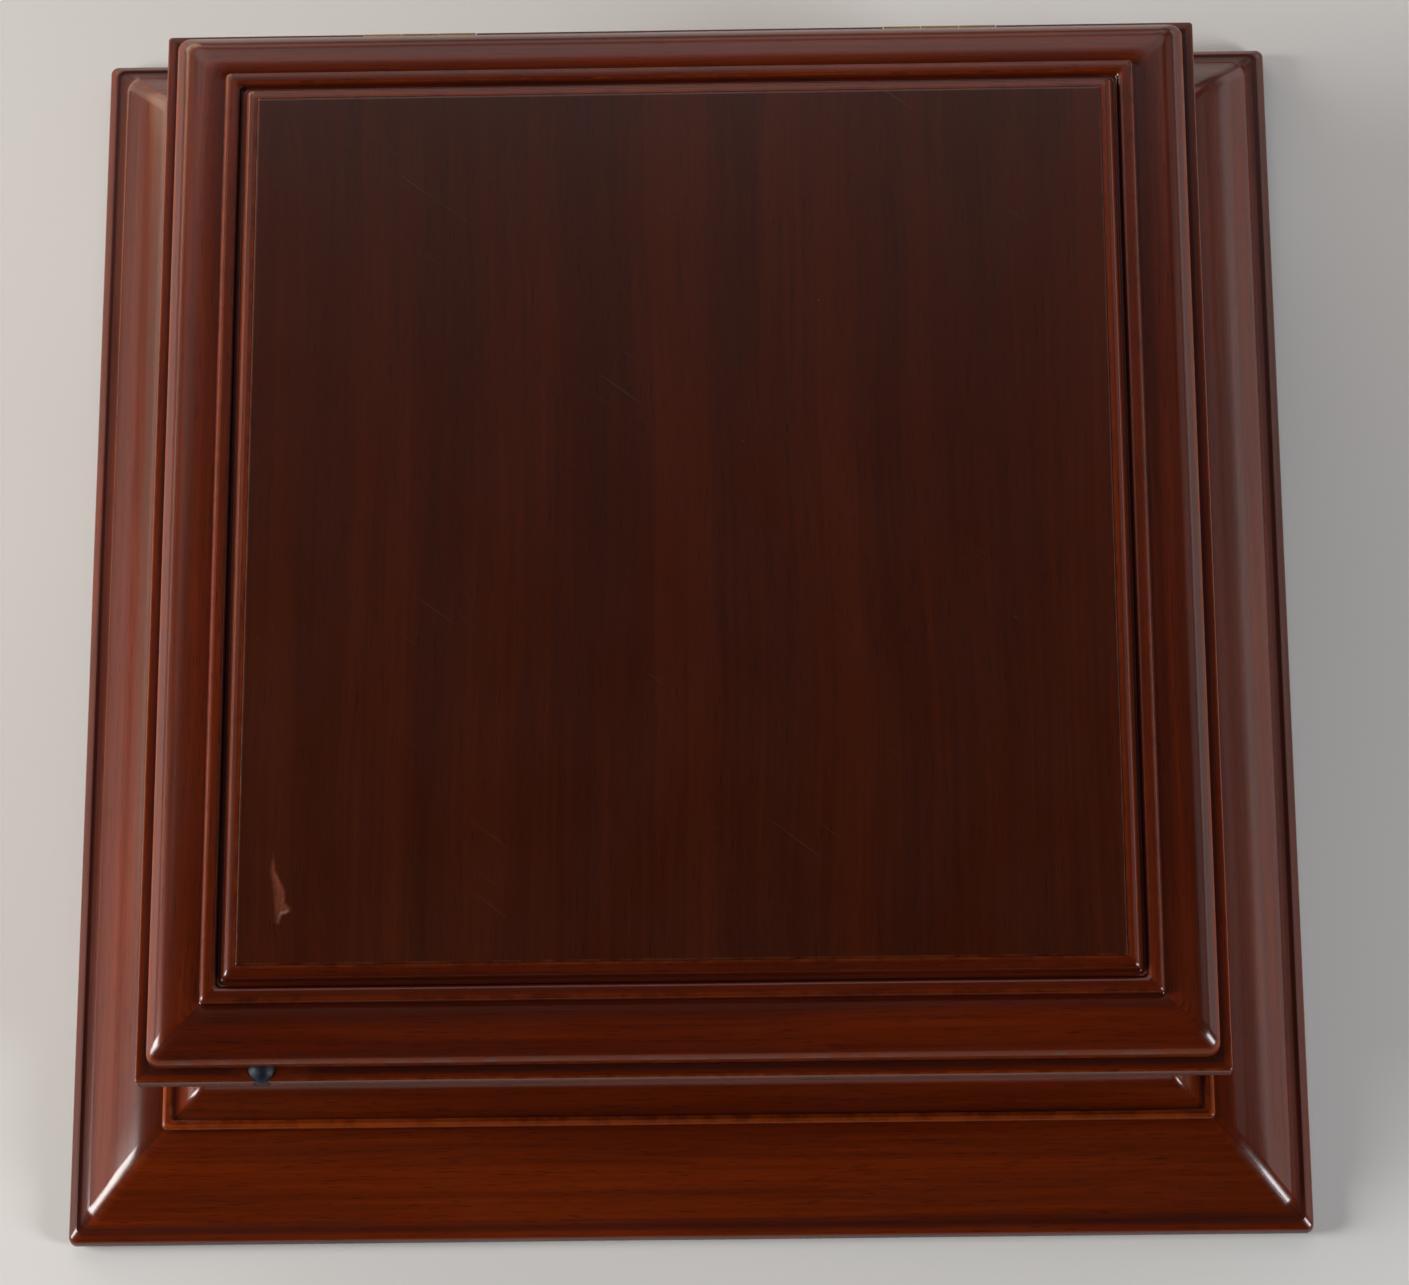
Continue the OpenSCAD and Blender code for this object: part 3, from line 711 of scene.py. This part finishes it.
def lines(half, coarse, close, fine):
    """Grid lines from -half to half: coarse steps, with fine ones over the close range."""
    out = {round(-half + 2 * half * k / coarse, 7) for k in range(coarse + 1)}
    out |= {round(way * (half - 0.4 * MM), 7) for way in (-1, 1)}
    low, high = close
    count = round((high - low) / fine)
    out = {v for v in out if not low < v < high} | {round(low + fine * k, 7) for k in range(count + 1)}
    return sorted(out)


def panel_piece():
    """The lid's panel: a wavering face with the chip in it, an eased edge, and the tongue in the frame."""
    ease = 0.45 * MM
    top, under = (PANEL_TOP - 0.06) * MM, PANEL_UNDER * MM
    tongue_top, tongue_under = (TONGUE_TOP - 0.1) * MM, (TONGUE_TOP - 0.1 - TONGUE_T) * MM
    edge = 0.05 * MM
    xs = lines(HALF_W - edge - ease, 40, (CHIP_AT.x - 1.5 * MM, CHIP_AT.x + 6.5 * MM), 0.35 * MM)
    ys = lines(HALF_D - edge - ease, 44, (CHIP_AT.y - 20 * MM, CHIP_AT.y + 1.5 * MM), 0.5 * MM)
    points, chip, relief = [], [], []
    for y in ys:
        for x in xs:
            depth = inside(Vector((x, y)) - CHIP_AT, CHIP_OUTLINE)
            depth += noise.noise(Vector((x, y, 0)) * 900) * 0.25 * MM
            torn = max(0.0, min(1.0, depth / CHIP_EDGE))
            waver = noise.noise(Vector((x * 18, y * 18, 3))) * 0.06 * MM
            fibres = 0.5 + 0.5 * noise.noise(Vector((x * 2500, y * 120, 9)))
            points.append(Vector((x, y, top + waver - torn * CHIP_DEPTH * (0.6 + 0.4 * fibres))))
            chip.append(max(0.0, min(1.0, depth / CHIP_EDGE + 0.3)))
            relief.append(0.0)
    nx, ny = len(xs), len(ys)
    faces = list(grid(nx, ny))
    ring = border(nx, ny)
    loops = [(ease * math.sin(a), top - ease * (1 - math.cos(a)), 1.0)
             for a in (math.radians(30), math.radians(60), math.radians(90))]
    loops += [(ease, tongue_top, -0.6), (ease + edge + TONGUE_W, tongue_top, 0.0),
              (ease + edge + TONGUE_W, tongue_under, 0.0), (ease, tongue_under, 0.0), (ease, under, 0.0)]
    last = ring
    half_x, half_y = xs[-1], ys[-1]
    for out, z, arris in loops:
        new = []
        for k in ring:
            p = points[k]
            dx = math.copysign(out, p.x) if abs(abs(p.x) - half_x) < 1e-6 else 0
            dy = math.copysign(out, p.y) if abs(abs(p.y) - half_y) < 1e-6 else 0
            new.append(len(points))
            points.append(Vector((p.x + dx, p.y + dy, z)))
            chip.append(0.0)
            relief.append(arris)
        faces += [(last[k], last[(k + 1) % len(ring)], new[(k + 1) % len(ring)], new[k])
                  for k in range(len(ring))]
        last = new
    faces.append(tuple(last))
    for k in ring:
        relief[k] = 0.9
    mesh = new_mesh("lid_panel_wood", points, faces)
    set_attribute(mesh, "grain", [Vector((p.y, p.x, p.z)) + Vector((1.7, 0.6, 2.1)) for p in points])
    set_attribute(mesh, "relief", relief)
    set_attribute(mesh, "chip", chip)
    away = [(Vector(p[:2]) - BRUISE_AT).length for p in points]
    set_attribute(mesh, "bruise", [max(0.0, 1 - d / BRUISE_R) for d in away])
    shade(mesh)
    return add_piece("lid_panel_wood", mesh, PANEL, "lid", "mahogany_panel", "lid_panel")


panel_piece()

# ---------------------------------------------------------------- rubber bumper and buffers


def bumper_piece():
    """A rubber ball with a moulding line round it and a shank that is pushed into the rim."""
    line = 0.12 * MM
    rings = []
    for along, radius in ball_rings(BUMPER_R - line, 28):
        seam = line * max(0.0, 1 - abs(along) / (0.35 * MM))
        if not (along > 0 and radius < SHANK_R + 0.2 * MM):
            rings.append((along, radius + seam))
    drop = Vector((0, 0, SHANK_AT.z - BUMPER_AT.z))
    rings += [(rings[-1][0] + 0.3 * MM, SHANK_R), (SHANK_LEN - 0.4 * MM, SHANK_R),
              (SHANK_LEN, SHANK_R - 0.4 * MM)]
    points, faces = turned(rings, BUMPER_AT, (0, 1, 0))
    points = [p + drop if (p - BUMPER_AT).y > BUMPER_R - 0.2 * MM else p for p in points]
    mesh = new_mesh("front_bumper_rubber", points, faces)
    shade(mesh)
    return add_piece("front_bumper_rubber", mesh, RUBBER, "case", "rubber", "front_bumper")


def disc_piece(node, radius, middles, material, body, slot, waver, seed):
    """One piece made of flat discs with softened edges, at the middles given, standing for a CAD node."""
    low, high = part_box(node)
    thick = high.z - low.z
    soft = min(0.5 * MM, thick * 0.3)
    rings = [(soft * (1 - math.cos(a)), radius - soft * (1 - math.sin(a))) for a in (0, 0.55, 1.1, 1.57)]
    rings = [(0, radius * k / 4) for k in (0.04, 1, 2, 3)] + rings
    rings += [(thick - along, r) for along, r in reversed(rings)]
    discs = []
    for x, y in middles:
        points, faces = turned(rings, Vector((x, y, low.z)), (0, 0, 1), 48)
        for i, p in enumerate(points):
            flat = Vector((p.x - x, p.y - y, 0))
            pull = waver * (0.5 + 0.5 * noise.noise(p * 260 + Vector((seed, 0, 0)))) * flat.length / radius
            points[i] = p - flat.normalized() * pull
        discs.append((points, faces))
    mesh = new_mesh(f"{node}_{slot}", *joined(discs))
    shade(mesh)
    return add_piece(f"{node}_{slot}", mesh, material, body, slot, node)


bumper_piece()

BUFFER_R = 3 * MM
FOOT_R = 9 * MM


def four_middles(node, radius):
    """Middles of four like discs at the corners of a node's box."""
    low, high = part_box(node)
    return [(x, y) for x in (low.x + radius, high.x - radius) for y in (low.y + radius, high.y - radius)]


for x, y in four_middles("rim_buffers", BUFFER_R):
    floor_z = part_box("rim_buffers")[0].z - CLEAR
    bore = turned([(0, BUFFER_R + CLEAR), (4 * MM, BUFFER_R + CLEAR)], Vector((x, y, floor_z)), (0, 0, 1))
    carve([rims[LEFT if x < 0 else RIGHT]], bore)
for x, y in four_middles("felt_feet", FOOT_R):
    top_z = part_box("felt_feet")[1].z + CLEAR
    seat = turned([(-4 * MM, FOOT_R + CLEAR), (0, FOOT_R + CLEAR)], Vector((x, y, top_z)), (0, 0, 1), 48)
    carve([bases[LEFT if x < 0 else RIGHT], bases[FRONT if y < 0 else BACK]], seat)

disc_piece("rim_buffers", BUFFER_R, four_middles("rim_buffers", BUFFER_R), RUBBER, "case", "rubber", 0.0, 3)
felt_feet = disc_piece("felt_feet", FOOT_R, four_middles("felt_feet", FOOT_R), FELT, "case", "felt",
                       0.35 * MM, 7)

# ---------------------------------------------------------------- felts and blotting paper


def layer(low, high, step, ragged, ripple, seed, turn=0.0):
    """Points and faces of one soft sheet between two corners, with wavering edges and a gentle ripple."""
    size = high - low
    soft = min(0.6 * MM, size.z * 0.45)
    axes = []
    for length in (size.x, size.y):
        count = max(2, math.ceil(length / step))
        axes.append([0.0, soft] + [length * k / count for k in range(1, count)] + [length - soft, length])
    nx, ny = len(axes[0]), len(axes[1])
    middle = (low + high) / 2
    points = []
    for top in (False, True):
        for j, v in enumerate(axes[1]):
            for i, u in enumerate(axes[0]):
                x = u - size.x / 2
                y = v - size.y / 2
                pull_x = ragged * (0.5 + 0.5 * noise.noise(Vector((seed, v * 45, math.copysign(3, x)))))
                pull_y = ragged * (0.5 + 0.5 * noise.noise(Vector((u * 45, seed, math.copysign(7, y)))))
                x -= pull_x * 2 * x / size.x
                y -= pull_y * 2 * y / size.y
                wave = ripple * (0.5 + 0.5 * noise.noise(Vector((u * 22, v * 22, seed))))
                rim = i in (0, nx - 1) or j in (0, ny - 1)
                drop = size.z * 0.3 if rim else 0.0
                z = high.z - wave - drop if top else low.z + drop
                turned_in = Matrix.Rotation(turn, 3, "Z") @ Vector((x, y, 0))
                points.append(turned_in + Vector((middle.x, middle.y, z)))
    n = nx * ny
    faces = []
    for a, b, c, d in grid(nx, ny):
        faces += [(a, d, c, b), (n + a, n + b, n + c, n + d)]
    ring = border(nx, ny)
    faces += [(a, b, n + b, n + a) for a, b in zip(ring, ring[1:] + ring[:1])]
    return points, faces


def soft_piece(node, material, body, slot, layers):
    """One piece made of soft sheets, standing for a CAD node."""
    mesh = new_mesh(f"{node}_{slot}", *joined(layers))
    shade(mesh, 50)
    return add_piece(f"{node}_{slot}", mesh, material, body, slot, node)


def cloth_piece(node, body, seed):
    """A sheet of felt as large as its CAD node, on a board."""
    low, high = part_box(node)
    piece = soft_piece(node, FELT, body, "felt", [layer(low, high, 3 * MM, 0.5 * MM, 0.2 * MM, seed)])
    return piece


PAD_SHEETS = 12


def pad_layers():
    """A stack of thick blotting sheets that don't quite line up, the top one a little bowed."""
    low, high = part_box("blotting_pad")
    pitch = (high.z - low.z) / PAD_SHEETS
    draw = random.Random(5)
    for k in range(PAD_SHEETS):
        loose = 0.3 + 0.7 * k / PAD_SHEETS
        slip = Vector((draw.uniform(-1, 1), draw.uniform(-1, 1), 0)) * loose * MM
        a = Vector((low.x, low.y, low.z + pitch * k)) + slip
        b = Vector((high.x, high.y, low.z + pitch * (k + 0.9))) + slip
        last = k == PAD_SHEETS - 1
        yield layer(a, b, (4 if last else 12) * MM, 0.35 * MM, 0.06 * MM if last else 0.0, k,
                    math.radians(draw.uniform(-0.12, 0.12)) * loose)


cloth_piece("bed_felt", "case", 2)
cloth_piece("press_felt", "lid", 4)
soft_piece("press_sheet", PAPER, "lid", "blotting_paper", [
    layer(*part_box("press_sheet"), 4 * MM, 0.3 * MM, 0.06 * MM, 9)])
soft_piece("blotting_pad", PAPER, "case", "blotting_paper", pad_layers())

# ---------------------------------------------------------------- CAD parts that keep their shape


def dress(node, material, ease=0.0):
    """Gives a CAD node its material and, where it is asked for, eased edges."""
    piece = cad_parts[node]
    piece.data.materials.clear()
    piece.data.materials.append(material)
    if ease:
        bevel = piece.modifiers.new("eased_edges", "BEVEL")
        bevel.width = ease
        bevel.segments = 2
        bevel.limit_method = "ANGLE"
        bevel.angle_limit = math.radians(50)
        bevel.use_clamp_overlap = True


for node in ("lid_mitre_keys", "press_board", "base_glue_blocks", "bottom_board", "bed_bearers", "bed_board"):
    dress(node, PINE, 0.4 * MM)
for node in ("sheet_clamp_left", "sheet_clamp_right", "lid_hinge_leaves", "case_hinge_leaves"):
    dress(node, BRASS, 0.15 * MM)
for node in ("sheet_clamp_screws", "lid_hinge_screws", "case_hinge_screws", "hinge_pins"):
    dress(node, BRASS)
for node in ("press_board_screws", "bottom_screws"):
    dress(node, STEEL)

# ---------------------------------------------------------------- camera, floor and light

CAMERA_AZIMUTH = math.radians(3.331)
CAMERA_ELEVATION = math.radians(68.374)
CAMERA_ROLL = math.radians(-3.841)
CAMERA_TARGET = Vector((5.814, -27.367, 60.0)) * MM
CAMERA_DISTANCE = 1.5325
SENSOR_W = 36.0
FOCAL_RATIO = 4.18657


def camera():
    """A long lens above and in front of the object, slightly rolled."""
    sin_a, cos_a = math.sin(CAMERA_AZIMUTH), math.cos(CAMERA_AZIMUTH)
    sin_e, cos_e = math.sin(CAMERA_ELEVATION), math.cos(CAMERA_ELEVATION)
    back = Vector((sin_a * cos_e, -cos_a * cos_e, sin_e))
    right = Vector((cos_a, sin_a, 0))
    up = back.cross(right)
    x = right * math.cos(CAMERA_ROLL) + up * math.sin(CAMERA_ROLL)
    y = up * math.cos(CAMERA_ROLL) - right * math.sin(CAMERA_ROLL)
    data = bpy.data.cameras.new("camera")
    data.sensor_width = SENSOR_W
    data.lens = SENSOR_W * FOCAL_RATIO
    data.clip_start, data.clip_end = 0.05, 50
    eye = bpy.data.objects.new("camera", data)
    bpy.context.scene.collection.objects.link(eye)
    eye.matrix_world = Matrix.Translation(CAMERA_TARGET + back * CAMERA_DISTANCE) @ Matrix(
        (x, y, back)).transposed().to_4x4()
    bpy.context.scene.camera = eye


def soft_light(name, azimuth, elevation, distance, width, height, radiance, tint=(1, 1, 1)):
    """A rectangular soft light facing the object. Azimuth 0 is in front of it and 90 to its right."""
    a, e = math.radians(azimuth), math.radians(elevation)
    away = Vector((math.sin(a) * math.cos(e), -math.cos(a) * math.cos(e), math.sin(e)))
    data = bpy.data.lights.new(name, "AREA")
    data.shape = "RECTANGLE"
    data.size, data.size_y = width, height
    data.energy = radiance * math.pi * width * height
    data.color = tint
    lamp = bpy.data.objects.new(name, data)
    bpy.context.scene.collection.objects.link(lamp)
    lamp.location = Vector((0, 0, 0.05)) + away * distance
    lamp.rotation_mode = "QUATERNION"
    lamp.rotation_quaternion = away.to_track_quat("Z", "Y")


def studio():
    soft_light("left_key", -84, 20, 1.8, 0.8, 0.7, 21, (1.0, 0.98, 0.95))
    soft_light("right_box", 64, 22, 1.7, 0.42, 0.58, 19, (0.98, 0.98, 1.0))
    soft_light("left_wall", -142, 13, 1.9, 1.6, 0.6, 2.6, (1.0, 0.66, 0.46))
    soft_light("left_low", -146, 4, 1.9, 1.5, 0.26, 1.5, (1.0, 0.84, 0.7))
    soft_light("left_strip", -126, 12, 1.9, 1.4, 0.1, 5.0, (1.0, 0.84, 0.68))
    soft_light("left_window", -138, 40, 1.9, 1.0, 1.0, 0.6, (1.0, 0.9, 0.82))
    soft_light("right_low", 122, 4, 1.9, 2.0, 0.26, 1.3, (0.98, 0.99, 1.0))
    soft_light("right_window", 120, 28, 1.9, 1.2, 0.8, 0.4, (0.98, 0.98, 1.0))
    soft_light("back_low", 180, 20, 2.2, 2.2, 0.6, 0.9, (0.96, 0.98, 1.0))
    soft_light("back_high", 180, 47, 2.2, 2.2, 0.9, 1.0, (0.94, 0.97, 1.0))
    world = bpy.data.worlds.new("studio")
    world.use_nodes = True
    world.node_tree.nodes["Background"].inputs["Color"].default_value = (0.9, 0.95, 1.0, 1)
    world.node_tree.nodes["Background"].inputs["Strength"].default_value = 0.015
    bpy.context.scene.world = world
    bpy.context.scene.view_settings.view_transform = "Standard"


def floor():
    """A plain pale floor."""
    s = Shader("pale_floor", Specular_IOR_Level=0.2, Roughness=0.9)
    mottle = s.noise(s.place(), 3, 3)
    s.link("Base Color", s.mix(s.span(mottle, 0.3, 0.7), (0.78, 0.77, 0.75), (0.82, 0.81, 0.79)))
    size = 4.0
    mesh = new_mesh("floor", [(-size, -size, 0), (size, -size, 0), (size, size, 0), (-size, size, 0)],
                    [(0, 1, 2, 3)])
    mesh.materials.append(s.material)
    plane = bpy.data.objects.new("floor", mesh)
    bpy.context.scene.collection.objects.link(plane)


camera()
studio()
floor()
